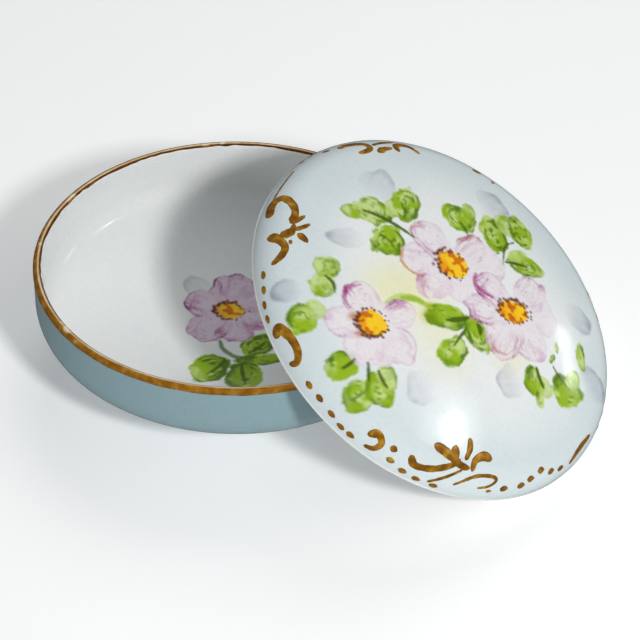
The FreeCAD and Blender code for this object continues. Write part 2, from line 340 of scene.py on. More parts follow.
def flower_heart(canvas, seed, place, across, up, dark):
    """The yellow middle, its brown brush marks and the ring of stamens, thickest towards `dark`."""
    chance = np.random.default_rng(seed)
    where = canvas.near(place, max(across, up) * 2.2)
    dx, dy = canvas.across[where] - place[0], canvas.up[where] - place[1]
    wobble = canvas.noise(where, 1.6, seed) - 0.5
    distance = np.hypot(dx / across, dy / up) + wobble * 0.24
    mask = 1 - smooth(0.90, 1.04, distance)
    canvas.body(where, mask, YOLK)
    shade = smooth(-0.3, 0.9, -dx / across + 1.2 * (canvas.noise(where, 1.8, seed + 1) - 0.5))
    canvas.body(where, mask * shade * 0.8, ORANGE)
    canvas.lay(where, mask * smooth(0.60, 0.70, canvas.noise(where, 1.3, seed + 2)) * 0.8, RUST)
    count = 60
    for k in range(count):
        angle = 2 * math.pi * k / count + chance.normal(0, 0.07)
        weight = np.clip(0.62 + 0.5 * math.cos(angle - math.radians(dark)), 0.15, 1)
        reach = chance.normal(1.0 + 0.05 * weight, 0.10)
        if chance.random() > 0.35 + 0.75 * weight:
            continue
        middle = (math.cos(angle) * across * reach, math.sin(angle) * up * reach)
        blob = np.hypot(dx - middle[0], dy - middle[1])
        canvas.body(where, (1 - smooth(0.22, 0.34 + 0.55 * weight, blob)) * 0.9, STAMEN)


LEAF_SWELL = 1.09       # how much larger every leaf is painted than its listed size


def leaf(canvas, seed, place, towards, length, width, tone, point=0.0):
    """A leaf in a few strokes that follow its outline.  tone runs from 0, pale, to 1 and more,
    deep green.  point narrows its far end."""
    length, width = length * LEAF_SWELL, width * LEAF_SWELL
    where = canvas.near(place, length)
    out, side = canvas.local(where, place, towards)
    wobble = canvas.noise(where, 2.6, seed) - 0.5
    taper = 1 - point * np.clip(out / (length / 2), -0.2, 1)
    ring = np.hypot(out / (length / 2), side / (width / 2))
    bristle = mark_grain(ring * width / 2, np.arctan2(side, out) * width * 0.12, 0.62, seed + 1)
    patch = canvas.noise(where, 2.6, seed + 2)
    rough = canvas.noise(where, 0.7, seed + 5) - 0.5
    distance = np.hypot(out / (length / 2), side / (width / 2 * taper)) + wobble * 0.30
    distance += rough * 0.11
    mask = 1 - smooth(0.88, 1.05, distance)
    canvas.body(where, mask * (0.72 + 0.28 * tone), LEAF_LIGHT)
    deep = np.clip(0.06 + 0.9 * tone + 2.1 * (patch - 0.5) + 0.7 * (bristle - 0.5), 0, 1)
    canvas.body(where, mask * deep, LEAF)
    edge = smooth(0.40, 0.95, distance) * smooth(-0.5, 0.7, -side / (width / 2) + 0.9 * (patch - 0.5))
    stroke = smooth(0.50, 0.78, bristle) * smooth(0.25, 0.6, 1 - patch)
    darker = np.clip(tone * (1.3 * edge * (0.35 + bristle) + 0.9 * stroke), 0, 1)
    canvas.body(where, mask * darker * 0.9, LEAF_DARK)


def shadow_leaf(canvas, seed, place, towards, length, width, strength):
    """A far leaf in grey lavender, darker along the side that it is turned towards, fading off."""
    where = canvas.near(place, length)
    out, side = canvas.local(where, place, towards)
    wobble = canvas.noise(where, 3.4, seed) - 0.5
    distance = np.hypot(out / (length / 2), side / (width / 2)) + wobble * 0.42
    mask = (1 - smooth(0.84, 1.02, distance)) * smooth(-1.1, 0.2, out / (length / 2))
    crescent = smooth(0.40, 0.95, distance) * smooth(-0.1, 0.8, out / (length / 2))
    streak = mark_grain(side, out * 0.25, 1.0, seed + 1)
    canvas.lay(where, mask * strength * (0.55 + 0.45 * streak), SHADOW_LEAF)
    canvas.lay(where, mask * crescent * strength * (0.45 + 0.5 * streak), SHADOW_EDGE)


def brush_line(canvas, seed, route, width, pigment=VEIN, cover=0.95):
    """A brushed line through given points, such as a stem or a vein."""
    line = through(route, 0.25)
    middle = line.mean(axis=0)
    reach = np.hypot(*(line - middle).T).max() + width * 2
    where = canvas.near(middle, reach)
    spot = np.stack([canvas.across[where], canvas.up[where]], 1)
    gaps = np.hypot(spot[:, None, 0] - line[None, :, 0], spot[:, None, 1] - line[None, :, 1])
    nearest = gaps.argmin(axis=1)
    share = nearest / (len(line) - 1)
    half = width / 2 * (0.45 + 0.55 * np.sin(math.pi * np.clip(share * 0.9 + 0.08, 0, 1)))
    rough = canvas.noise(where, 0.9, seed) - 0.5
    mask = 1 - smooth(-0.25, 0.30, gaps.min(axis=1) - half + rough * 0.3)
    canvas.body(where, mask * cover, pigment)


def glow(canvas, place, across, up, cover, pigment):
    """A soft wash of colour with no edge."""
    where = canvas.near(place, max(across, up) * 1.6)
    dx, dy = canvas.across[where] - place[0], canvas.up[where] - place[1]
    canvas.lay(where, cover * (1 - smooth(0.1, 1.3, np.hypot(dx / across, dy / up))), pigment)


def through(route, step):
    """A smooth curve through points, as many close points."""
    route = np.array(route, float)
    ends = np.vstack([2 * route[0] - route[1], route, 2 * route[-1] - route[-2]])
    line = [route[0]]
    for k in range(1, len(ends) - 2):
        before, start, end, after = ends[k - 1:k + 3]
        count = max(2, round(np.hypot(*(end - start)) / step))
        for share in np.linspace(0, 1, count + 1)[1:]:
            line.append(0.5 * (2 * start + (end - before) * share
                               + (2 * before - 5 * start + 4 * end - after) * share ** 2
                               + (3 * start - before - 3 * end + after) * share ** 3))
    return np.array(line)


# ---- the lid's shape
def dome_level(radius):
    """Height of the lid's outside above its rim plane."""
    crown = CROWN_MIDDLE + np.sqrt(CROWN_ROUND ** 2 - radius ** 2)
    past_middle = radius - LID_MIDDLE
    shoulder = LID_EDGE + np.sqrt(np.clip(LID_SHOULDER ** 2 - past_middle ** 2, 0, None))
    return np.where(radius < CROWN_END, crown, shoulder)


def leaning(points):
    """From the lid's own axes to the shared frame, where it leans on the dish."""
    tilt = np.array(Matrix.Rotation(LEAN_TURN, 3, "Z") @ Matrix.Rotation(LEAN_TILT, 3, "Y"))
    return points @ tilt.T + np.array([LEAN_REACH, 0, LEAN_LEVEL])


def lid_outline():
    """From the top of the dome round the edge and the ring to the inside's middle, all (r, z)."""
    slope = math.degrees(CROWN_SLOPE)
    line = [(0.0, LID_HEIGHT)]
    line += arc((0, CROWN_MIDDLE), CROWN_ROUND, 90, 90 - slope, 0.43)
    line += arc((LID_MIDDLE, LID_EDGE), LID_SHOULDER, 90 - slope, 0, 0.40)
    line += straight(line[-1], (LID_RADIUS, LID_ROUND), 0.4)
    line += arc((LID_RADIUS - LID_ROUND, LID_ROUND), LID_ROUND, 0, -90, 0.2)
    line += straight(line[-1], (RING_ROOT, 0), 0.8)
    tip = (RING_END - RING_TIP_ROUND, RING_TIP_ROUND - RING_DEPTH)
    reach = math.hypot(RING_ROOT - tip[0], -tip[1])
    turn = math.atan2(-tip[1], RING_ROOT - tip[0]) - math.acos(RING_TIP_ROUND / reach)
    tip_start = (tip[0] + RING_TIP_ROUND * math.cos(turn), tip[1] + RING_TIP_ROUND * math.sin(turn))
    line += straight(line[-1], tip_start, 0.6)
    line += arc(tip, RING_TIP_ROUND, math.degrees(turn), -180, 0.25)
    inner = tip[0] - RING_TIP_ROUND
    ceiling = CROWN_ROUND - LID_WALL
    corner_across = inner - HOLLOW_CORNER
    corner_level = CROWN_MIDDLE + math.sqrt((ceiling - HOLLOW_CORNER) ** 2 - corner_across ** 2)
    corner_slope = math.degrees(math.asin(corner_across / (ceiling - HOLLOW_CORNER)))
    line += straight(line[-1], (inner, corner_level), 0.8)
    line += arc((corner_across, corner_level), HOLLOW_CORNER, 0, 90 - corner_slope, 0.8)
    line += arc((0, CROWN_MIDDLE), ceiling, 90 - corner_slope, 90, 2.0)
    line[-1] = (0.0, CROWN_MIDDLE + ceiling)
    return line


# ---- the dish's shape
def dish_outline():
    """From the middle of the underside round the foot, the wall and the rim to the floor's middle."""
    slope = math.degrees(BASE_SLOPE)
    under = lambda r: BASE_MIDDLE - math.sqrt(BASE_ROUND ** 2 - r * r)
    line = [(0.0, BASE_MIDDLE - BASE_ROUND)]
    foot_angle = lambda r: math.degrees(math.asin(r / BASE_ROUND)) - 90
    line += arc((0, BASE_MIDDLE), BASE_ROUND, -90, foot_angle(FOOT_INNER), 1.2)
    line += straight(line[-1], (FOOT_INNER, FOOT_ROUND), 0.6)
    line += arc((FOOT_INNER + FOOT_ROUND, FOOT_ROUND), FOOT_ROUND, 180, 270, 0.2)
    line += straight(line[-1], (FOOT_OUTER - FOOT_ROUND, 0), 0.5)
    line += arc((FOOT_OUTER - FOOT_ROUND, FOOT_ROUND), FOOT_ROUND, -90, 0, 0.2)
    line += straight(line[-1], (FOOT_OUTER, under(FOOT_OUTER)), 0.5)
    line += arc((0, BASE_MIDDLE), BASE_ROUND, foot_angle(FOOT_OUTER), slope - 90, 0.9)
    line += arc((SHOULDER_MIDDLE, SHOULDER_LEVEL), SHOULDER_ROUND, slope - 90, 0, 0.5)
    line += straight(line[-1], (RIM_RADIUS, RIM_LEVEL), 0.8)
    line += arc((RIM_RADIUS - RIM_ROUND, RIM_LEVEL), RIM_ROUND, 0, 180, 0.25)
    line += straight(line[-1], (RIM_RADIUS - WALL, SHOULDER_LEVEL), 0.8)
    line += arc((SHOULDER_MIDDLE, SHOULDER_LEVEL), SHOULDER_ROUND - WALL, 0, slope - 90, 0.5)
    line += arc((0, BASE_MIDDLE), BASE_ROUND - WALL, slope - 90, -90, 0.42)
    line[-1] = (0.0, BASE_MIDDLE - BASE_ROUND + WALL)
    return line


# ---- painting of the lid
def paint_lid(points):
    """Colour of every point of the lid, in its own axes."""
    radius = np.hypot(points[:, 0], points[:, 1])
    colour = np.tile(LID_WHITE, (len(points), 1))
    on_top = points[:, 2] > dome_level(radius) - SKIN
    canvas = Canvas(points, LID_DRAWING_TURN, colour, on_top)
    everywhere = np.nonzero(on_top)[0]
    mottle = canvas.noise(everywhere, 16, 1) - 0.5
    blue = smooth(24, 58, radius[everywhere] + mottle * 14)
    canvas.lay(everywhere, blue * 0.55, BORDER_BLUE)

    glow(canvas, (-20, 1), 17, 12, 0.95, GLOW)
    glow(canvas, (-12, -16), 12, 14, 0.55, GLOW)
    glow(canvas, (10, -22), 9, 6, 0.5, GLOW)

    paint_each(shadow_leaf, canvas, 21, [
        ((-13, 37), 40, 15, 11, 0.55), ((27, 31), 10, 13, 13, 0.75), ((-32, 19), 170, 15, 7, 0.75),
        ((-54, 4), 170, 8, 9, 0.9), ((44, -8), -35, 13, 11, 0.8), ((41, -29), 20, 11, 13, 0.85),
        ((7, -29), 180, 11, 11, 0.7), ((-24, -30), 200, 10, 11, 0.45)])

    paint_each(leaf, canvas, 31, [
        ((-25.5, 28), 175, 7, 5, 0.35), ((-19, 28), 80, 10, 11, 0.55), ((-18.5, 17), 25, 12, 9, 0.95),
        ((-12, 28.5), 60, 7, 5, 0.2), ((-6.5, 30), 52, 14, 8, 0.75), ((11, 25.2), 100, 10, 10.5, 0.75),
        ((15.8, 27.5), 70, 7, 4.5, 0.35), ((22, 19.5), 80, 13, 9.5, 0.9), ((29, 24), 60, 8, 7, 0.25),
        ((34, 21.5), -100, 12.5, 9, 0.95), ((30, 9), -12, 13.5, 8, 0.75, 0.45),
        ((28, 12.5), 20, 8, 4, 0.2), ((19, 8.2), 60, 3.5, 1.4, 0.4), ((-8.5, -8.7), -8, 13.5, 8, 0.75),
        ((0.7, -15), -70, 11.5, 8.5, 0.8), ((-10, -19.5), 30, 11, 7.5, 0.7),
        ((-41, 9.5), 60, 8, 7.5, 0.45), ((-44, 4), 30, 8, 7, 0.3), ((-53, -5.5), 190, 8, 8.5, 0.8),
        ((-48.5, -3), 20, 6, 6, 0.2), ((-46, -20.5), 200, 10.5, 8, 0.85),
        ((-43, -29.5), 250, 9, 9, 0.6), ((-37, -29), 280, 10, 8, 0.65), ((-33.5, -26), 80, 8, 6, 0.3),
        ((16.3, -29), 250, 9, 7, 0.75), ((16.8, -34.5), 260, 5, 3, 0.6), ((20, -31), 20, 6, 6, 0.15),
        ((29, -32), 175, 12, 10, 1.1), ((33, -28), 40, 7, 5, 0.2), ((39.5, -20.5), 75, 9, 3.5, 0.8),
        ((30, -18), 70, 4, 1.6, 0.6), ((26.5, -22), 40, 4, 1.6, 0.6)])
    brush_line(canvas, 63, [(-26.5, -3.4), (-22, -1.8), (-17, -2.6), (-12.6, -5.6)], 2.6, LEAF_LIGHT, 0.95)
    brush_line(canvas, 64, [(-21, -2), (-17, -2.6), (-14.6, -4)], 1.8, LEAF, 0.8)
    glow(canvas, (-14, -8.5), 3.5, 3, 0.9, LEMON)
    glow(canvas, (-12.6, -5), 2.4, 1.6, 0.9, LEMON)

    top, right, left = (0.5, 8.5), (17.2, -7.2), (-33, -9)
    paint_each(petal, canvas, 70, [
        (top, 4, 20, 15, 0.55, -0.4), (top, 286, 14, 15, 0.5, 0.0),
        (top, 30, 18, 9, 0.95, 1.0, ROSE_BROWN), (top, 213, 17, 11, 0.95, -0.6),
        (top, 171, 17.5, 12, 0.95, 0.2), (top, 112, 16.5, 12.5, 1.05, 0.5)])
    paint_each(petal, canvas, 80, [
        (right, 0, 17, 16, 0.35, 0.0), (right, 34, 19, 11, 1.0, 0.4),
        (right, 284, 16, 14, 0.95, -0.8), (right, 228, 18.5, 13, 1.0, 0.3, ROSE_BROWN),
        (right, 176, 18, 10.5, 1.15, 0.5, MAGENTA), (right, 127, 15.5, 12, 1.45, 0.8, MAGENTA)])
    paint_each(petal, canvas, 90, [
        (left, 268, 13, 12, 0.5, 0.0), (left, 308, 15.5, 12, 0.75, 0.4),
        (left, 235, 14.5, 12, 0.7, -0.4), (left, 12, 15, 9.5, 0.95, 0.9),
        (left, 172, 14.5, 10, 0.9, 0.3), (left, 97, 13.5, 11.5, 1.45, 0.9, MAGENTA)])

    paint_each(brush_line, canvas, 96, [
        ([(-14.6, 14), (-16.6, 10.4), (-15, 6.6), (-11.4, 4.4)], 0.9, OCHRE, 0.75),
        ([(-11.4, 3), (-13, 0.4), (-12.6, -2.8)], 0.9, ROSE_BROWN, 0.45),
        ([(-6, 22.6), (-9.2, 20.6), (-8.6, 17.6)], 0.8, ROSE_BROWN, 0.6),
        ([(8, 5.4), (6.4, 2.6), (8, -0.8), (11.4, -2.4)], 1.5, MAGENTA, 0.7),
        ([(-38.4, -3.6), (-38.8, -0.4), (-36.6, 2.4), (-32.8, 3.2)], 1.1, MAGENTA, 0.6)])
    brush_line(canvas, 104, [(4.6, -17.4), (5.4, -19.6), (9, -21)], 0.9, ROSE_BROWN, 0.7)

    flower_heart(canvas, 101, top, 5.3, 4.9, 150)
    flower_heart(canvas, 102, right, 5.6, 3.9, 90)
    flower_heart(canvas, 103, left, 4.6, 4.1, 200)
    glow(canvas, (-38, -6.4), 2.4, 1.6, 0.8, OCHRE)
    glow(canvas, (-37.6, -12), 2.2, 1.4, 0.8, OCHRE)

    paint_each(brush_line, canvas, 110, [
        ([(-22, 28), (-18, 26), (-13, 22), (-9, 18)], 1.3),
        ([(-17, 13.5), (-18, 17), (-19.5, 19)], 0.8, LEAF_DARK, 0.7),
        ([(-9.5, 25), (-8, 27), (-8, 30)], 1.1, LEAF_DARK, 0.8),
        ([(11.3, 19.6), (11.2, 22), (10.6, 24)], 1.3, LEAF_DARK, 0.85),
        ([(29, 17.5), (25, 16), (22, 12), (20.5, 9)], 0.8),
        ([(30, 19.5), (31.5, 21), (33, 21.3)], 1.0, LEAF_DARK, 0.8),
        ([(22, 10), (26, 9.6), (30, 8.8)], 1.1), ([(-8.5, -9.7), (-4.5, -9.7), (-0.8, -9.2)], 1.7),
        ([(-8.8, -17.5), (-6, -15.2), (-2.8, -12.6)], 0.9),
        ([(1.8, -11.5), (2, -13), (1.6, -14.5)], 1.7), ([(-42.2, 7), (-40.8, 4.5), (-41.2, 1.5)], 1.1),
        ([(-46, -21.5), (-43, -20.2), (-41.5, -19)], 1.1),
        ([(-38, -20.8), (-38.8, -24), (-39.2, -26)], 1.1),
        ([(-35.6, -23.5), (-35.2, -26), (-34.2, -28.5)], 1.2),
        ([(-45, -30.5), (-41.5, -28.8)], 1.0, LEAF_DARK, 0.8),
        ([(19, -25), (19, -28), (19.5, -31)], 1.3), ([(26, -24.5), (27.5, -28), (30, -31.5)], 0.8)])
    return colour


def paint_dish(points):
    """Colour of every point of the dish: blue outside, deepened as painted shade, white inside with one
    flower.
    """
    radius = np.hypot(points[:, 0], points[:, 1])
    on_base = np.hypot(radius, points[:, 2] - BASE_MIDDLE) < BASE_ROUND - WALL / 2
    from_shoulder = np.hypot(radius - SHOULDER_MIDDLE, points[:, 2] - SHOULDER_LEVEL)
    on_shoulder = from_shoulder < SHOULDER_ROUND - WALL / 2
    inside = np.where(points[:, 2] > SHOULDER_LEVEL, radius < RIM_RADIUS - RIM_ROUND,
                      on_shoulder | (on_base & (radius < SHOULDER_MIDDLE)))
    colour = np.tile(PORCELAIN, (len(points), 1))
    canvas = Canvas(points, DISH_DRAWING_TURN, colour, inside)

    # the outside's blue, darkened as painted shade, laid deeper higher up the wall
    outside = np.nonzero(~inside & (radius > FOOT_OUTER - 0.5))[0]
    mottle = canvas.noise(outside, 18, 5) - 0.5
    depth = smooth(2, 22, points[outside, 2] + mottle * 6)
    canvas.lay(outside, 0.55 + 0.45 * depth, SHADED_OUTSIDE_BLUE)

    shadow_leaf(canvas, 201, (-12, 20), 150, 12, 9, 0.5)
    # deep leaf tones: the painting's green, deepened partly as painted shade
    paint_each(leaf, canvas, 211, [
        ((6.5, -4.5), 60, 11, 9, 1.4), ((8, -11.5), 5, 14, 5.5, 1.4),
        ((-7.5, -17), 70, 14.5, 10.5, 1.2), ((3, -20.5), 265, 15, 10.5, 1.3),
        ((-10.5, -20), 120, 8, 4, 0.2)])
    heart = (-2.5, 11.5)
    # strong petal colours on the duskier ground: the painting's own, deepened partly as painted shade
    paint_each(petal, canvas, 220, [
        (heart, 345, 15, 13, 1.3, -0.3, MAUVE, SHADED_PETAL), (heart, 35, 14, 12, 1.2, 0.2, ROSE_BROWN, SHADED_PETAL),
        (heart, 85, 15.5, 14.5, 1.4, 0.6, MAUVE, SHADED_PETAL), (heart, 285, 15, 11.5, 1.3, 0.2, MAUVE, SHADED_PETAL),
        (heart, 232, 17.5, 12.5, 1.5, 0.4, MAGENTA, SHADED_PETAL),
        (heart, 165, 14.5, 12, 1.5, 0.5, MAGENTA, SHADED_PETAL)])
    flower_heart(canvas, 231, heart, 4.6, 3.6, 150)
    paint_each(brush_line, canvas, 241, [
        ([(-5, -2.5), (-3.5, -7), (1, -10.5), (6, -9)], 1.6, LEAF_DARK, 0.85),
        ([(-3, -12), (-5, -16), (-8, -20)], 1.1), ([(2, -14), (2.5, -19), (3.5, -25)], 1.2),
        ([(4, -8), (7, -5.5), (9, -2.5)], 1.3)])
    return colour


# ---- gold on the lid
GOLD_HEIGHT = 0.09
GOLD_SUNK = 0.06
STROKE_WEIGHT = 1.18    # how much wider every stroke is made than its listed width


def gold_stroke(seed, route, width, blob=0.0):
    """One gold brush stroke on the dome: a low lens-shaped ribbon with round, uneven ends.
    blob thickens its start, as where a scroll begins."""
    chance = np.random.default_rng(seed)
    width = width * STROKE_WEIGHT
    line = through(unrolled(np.array(route, float)), 0.3)
    steps = np.hypot(*np.diff(line, axis=0).T)
    along = np.concatenate([[0], np.cumsum(steps)])
    total = along[-1]
    direction = np.gradient(line, axis=0)
    direction /= np.hypot(*direction.T)[:, None]
    swell = 1 + blob * np.exp(-((along - width * 0.6) / (width * 0.9)) ** 2)
    uneven = 1 + 0.24 * (grain(along + 3, along * 0 + seed, 1.3, seed) - 0.5)
    taper = 0.66 + 0.34 * np.sin(math.pi * np.clip(along / total, 0.08, 1) ** 0.8)
    half = width / 2 * swell * uneven * taper
    from_end = np.minimum(along, total - along)
    half *= np.sqrt(np.clip(1 - np.clip(1 - from_end / (width / 2), 0, 1) ** 2, 0.02, 1))
    left = np.stack([-direction[:, 1], direction[:, 0]], 1)
    across_shares = (-1.0, -0.6, 0.0, 0.6, 1.0, 0.0)
    heights = (-GOLD_SUNK, 0.75 * GOLD_HEIGHT, GOLD_HEIGHT, 0.75 * GOLD_HEIGHT, -GOLD_SUNK, -GOLD_SUNK)
    sections = []
    for share, height in zip(across_shares, heights):
        jitter = chance.normal(0, 0.03, len(line)) if abs(share) == 1 else 0
        flat = line + left * (half * share + jitter)[:, None]
        sections.append(on_dome(flat, height))
    points = np.stack(sections, 1).reshape(-1, 3)
    sides = len(heights)
    faces = []
    for k in range(len(line) - 1):
        for side in range(sides):
            near, after = k * sides + side, k * sides + (side + 1) % sides
            faces.append((near, after, after + sides, near + sides))
    last = (len(line) - 1) * sides
    faces.append(tuple(range(sides))[::-1])
    faces.append(tuple(range(last, last + sides)))
    return points, faces


def unrolled(flat):
    """Drawn places with their distance from the middle measured along the dome instead."""
    radius = np.hypot(flat[:, 0], flat[:, 1])
    on_crown = CROWN_ROUND * np.arcsin(np.minimum(radius / CROWN_ROUND, 1))
    past_middle = np.clip((radius - LID_MIDDLE) / LID_SHOULDER, 0, 1)
    on_shoulder = DOME_LENGTH - LID_SHOULDER * np.arccos(past_middle)
    length = np.where(radius < CROWN_END, on_crown, on_shoulder)
    return flat * (length / np.maximum(radius, TINY))[:, None]


def on_dome(flat, height):
    """Unrolled places set on the lid's outside and raised along the surface's normal."""
    length = np.hypot(flat[:, 0], flat[:, 1])
    angle = np.arctan2(flat[:, 1], flat[:, 0]) + LID_DRAWING_TURN
    crown = length / CROWN_ROUND
    shoulder = np.maximum((DOME_LENGTH - length) / LID_SHOULDER, 0)
    on_crown = crown < CROWN_SLOPE
    radius = np.where(on_crown, (CROWN_ROUND + height) * np.sin(crown),
                      LID_MIDDLE + (LID_SHOULDER + height) * np.cos(shoulder))
    level = np.where(on_crown, CROWN_MIDDLE + (CROWN_ROUND + height) * np.cos(crown),
                     LID_EDGE + (LID_SHOULDER + height) * np.sin(shoulder))
    return np.stack([radius * np.cos(angle), radius * np.sin(angle), level], 1)


def edge(angle, level):
    """The drawn place on the lid's shoulder at an angle, and at a height above the rim plane."""
    radius = LID_MIDDLE + math.sqrt(LID_SHOULDER ** 2 - (level - LID_EDGE) ** 2)
    return (radius * math.cos(math.radians(angle)), radius * math.sin(math.radians(angle)))


def dash(angle, level, length, width):
    """A short stroke along the edge."""
    half = math.degrees(length / 2 / LID_RADIUS)
    return [edge(angle - half, level), edge(angle + half, level)], width


def gold_strokes():
    """Every gold stroke of the lid, as (route, width) or (route, width, blob): plain scrolls,
    leaf sprays and dots."""
    strokes = [
        # left spray
        ([edge(149.4, 6.2), edge(144.2, 5.9), edge(141.6, 8), edge(143.8, 10), edge(147.6, 10.4),
          edge(150.6, 10.1)], 3.0, 0.4),
        ([edge(145.5, 5.4), edge(138, 6), edge(128, 6.2)], 0.8),
        ([(-46.5, 25.4), (-43.5, 26.3), (-41, 27.4)], 1.5, 0.3),
        ([(-50.4, 21.4), (-47, 22.6), (-45.2, 25)], 2.1, 0.5),
        ([(-46, 23), (-43, 23.6), (-40.6, 24.4)], 1.4, 0.2),
        ([(-45.6, 21.6), (-44.4, 20), (-43.6, 18.2)], 1.9, 0.3),
        ([(-48.2, 19.8), (-49, 18.2)], 1.1),
        ([edge(157.3, 6.6), edge(157.6, 8.6), edge(160.6, 9.9), edge(164, 9.4),
          edge(166.6, 7.6)], 2.4, 0.6),
        # left lower hook, and the small scroll further on
        ([edge(187.4, 3), edge(185.6, 5.2), edge(189, 6.8), edge(193.4, 7), edge(196.2, 5.4),
          edge(195.4, 3)], 2.8, 0.5),
        ([edge(223.4, 6.6), edge(225.8, 8), edge(228, 6.8), edge(227.2, 4.6),
          edge(224.6, 3.6)], 2.0, 0.4),
        # bottom spray
        ([(-31, -47.2), (-29.6, -49.6), (-25, -51.4), (-19.5, -51.6), (-16.5, -50.4)], 2.1, 0.4),
        ([(-24, -45.6), (-21, -47.8), (-18.4, -50.6)], 3.0, 0.1),
        ([(-17, -46.4), (-17.8, -48.8), (-17.4, -50.4)], 2.5, 0.1),
        ([(-11.8, -44.8), (-12.8, -48), (-15, -50.8)], 1.8, 0.2),
        ([(-19.6, -50), (-16, -52.2), (-13.8, -53)], 2.4),
        ([(-6, -51.2), (-8.6, -50.2), (-11.8, -51.2), (-13.2, -53.8)], 2.2, 0.4),
        ([(-25, -53.4), (-20.5, -53.8), (-16, -53)], 1.1, 0.2),
        ([(-18, -55.6), (-12, -55), (-6.4, -55.5), (-4.9, -56.5), (-7, -57.4), (-10.5, -57.3)], 1.2),
        # right lower line and the marks on the far side
        ([edge(295.4, 6.4), edge(301.6, 8), edge(308.6, 8)], 2.2),
        ([(55.2, 3.4), (55.6, 1.6), (55.2, 0.4)], 1.6, 0.2),
        ([(55.6, -4.4), (55.4, -7)], 1.3, 0.2),
        ([(27.6, 45.8), (30.8, 44.6)], 1.5, 0.2),
        ([(33, 41.6), (34.2, 40.9)], 1.7),
        ([(32, 48), (35, 46), (38.4, 43.6)], 1.2, 0.2),
        # top spray
        ([(-24.2, 51.6), (-21.6, 52.4)], 1.4),
        ([(-19, 52.4), (-15.4, 53.9), (-10.4, 54.1), (-8.4, 52.6), (-9.8, 51), (-13.6, 49.9)], 2.3),
        ([(-6.6, 50.4), (-3.4, 51.8), (-0.4, 52.3)], 1.9, 0.3),
        ([(-7, 53.4), (-3, 54.6), (2, 55.2)], 1.3),
        ([(1.6, 50.8), (1.2, 53), (3.6, 54), (6.4, 53.3), (8, 51.6), (9, 50.3)], 2.0, 0.3)]
    # dots and dashes between them, as (angle, level)
    near_row = [(168.7, 5.1), (173.2, 4.4), (177.3, 3.4), (181.4, 2.9), (203.1, 4.6), (207.6, 4.6),
                (212.8, 4.1), (216.8, 3.3), (220.2, 3.4), (232.8, 4.4), (237.3, 3.3), (241.8, 2.9),
                (247.2, 2.9)]
    strokes += [dash(angle, level, 2.7, 1.8) for angle, level in near_row]
    strokes += [dash(231.7, 7.3, 2.4, 2.1), dash(263.8, 4.9, 1.9, 1.2)]
    right_row = [(268.7, 5.7), (274.7, 6.1), (278, 7.4), (282, 8.6), (286.5, 7.5), (291, 6.9)]
    strokes += [dash(angle, level, 2.9, 2.1) for angle, level in right_row]
    far_row = [*range(316, 352, 6), *range(10, 38, 5), *range(62, 78, 5), *range(114, 126, 4)]
    strokes += [dash(angle, 5.2, 2.2, 1.3) for angle in far_row]
    return strokes


def joined(parts):
    """Several (points, faces) as one."""
    points, faces, offset = [], [], 0
    for part_points, part_faces in parts:
        points.append(part_points)
        faces += [tuple(index + offset for index in face) for face in part_faces]
        offset += len(part_points)
    return np.vstack(points), faces


# ---- gilding on the dish's rim
INNER_GOLD = 0.80       # how far over the rim's half circle the gold goes, as a share


def rim_gilding():
    """The band of gold over the rim, and how far over the rim each point is, in radians.
    Both edges are uneven: the outer one down the wall, the inner one where the gold ends."""
    # just inside the CAD band's outside, and just under the glaze
    outer, inner = RIM_ROUND + GILDING - 0.02, RIM_ROUND - 0.04
    middle_radius = RIM_RADIUS - RIM_ROUND
    skirt = RIM_LEVEL - (DISH_HEIGHT - GILDING_DROP)
    count, arc_rows = 720, 14
    angles = np.arange(count) * 2 * math.pi / count
    around = np.stack([np.cos(angles), np.sin(angles)], 1) * middle_radius
    across, up = around[:, 0] + DRAWING_SHIFT, around[:, 1] + DRAWING_SHIFT
    low_out = RIM_LEVEL - skirt * (0.35 + 0.65 * grain(across, up, 3.0, 301))
    inner_end = INNER_GOLD + 0.10 * (grain(across, up, 2.4, 302) - 0.5)
    section = []
    for radius, order in ((outer, 1), (inner, -1)):
        for k in range(arc_rows + 1)[::order]:
            section.append((radius, k / arc_rows))
    points, turns = [], []
    for index, angle in enumerate(angles):
        for radius, share in section:
            turn = math.pi * inner_end[index] * share
            level = RIM_LEVEL + radius * math.sin(turn) if share > 0 else low_out[index]
            turns.append(turn)
            r = middle_radius + radius * math.cos(turn)
            points.append((r * math.cos(angle), r * math.sin(angle), level))
    rows = len(section)
    faces = []
    for k in range(count):
        for row in range(rows):
            here, after = k * rows, (k + 1) % count * rows
            below = (row + 1) % rows
            faces.append((here + row, after + row, after + below, here + below))
    return np.array(points), np.array(turns), faces


def rim_wear_and_sheen(points, turns):
    """How far the rim's gold is paled, to 1: a painted highlight, a pale strip along the top,
    and a bare patch or two.  It goes down to -1 on the inner edge, a painted dark reflection."""
    across, up = points[:, 0] + DRAWING_SHIFT, points[:, 1] + DRAWING_SHIFT
    over = turns / math.pi
    # painted highlight: a pale strip along the top of the rim, uneven in strength
    top = np.exp(-((over - 0.55) / 0.06) ** 2)
    sheen_strength = 0.7 + 0.4 * smooth(0.3, 0.7, grain(across, up, 9, 303))
    sheen_strength = sheen_strength + 0.4 * (grain(across, up, 1.1, 304) - 0.5)
    patch = smooth(0.70, 0.80, grain(across, up, 12, 305))
    patch = patch * smooth(0.42, 0.62, grain(across, up, 1.6, 306))
    # painted dark reflection along the rim's inner edge
    dark_reflection = smooth(0.63, 0.69, over)
    return np.clip(top * sheen_strength + patch * smooth(0.2, 0.5, over) - dark_reflection, -1, 1)


# ---- materials
def new_material(name):
    """A material, its node tree and its shader."""
    material = bpy.data.materials.new(name)
    material.use_nodes = True
    tree = material.node_tree
    return material, tree, tree.nodes["Principled BSDF"]


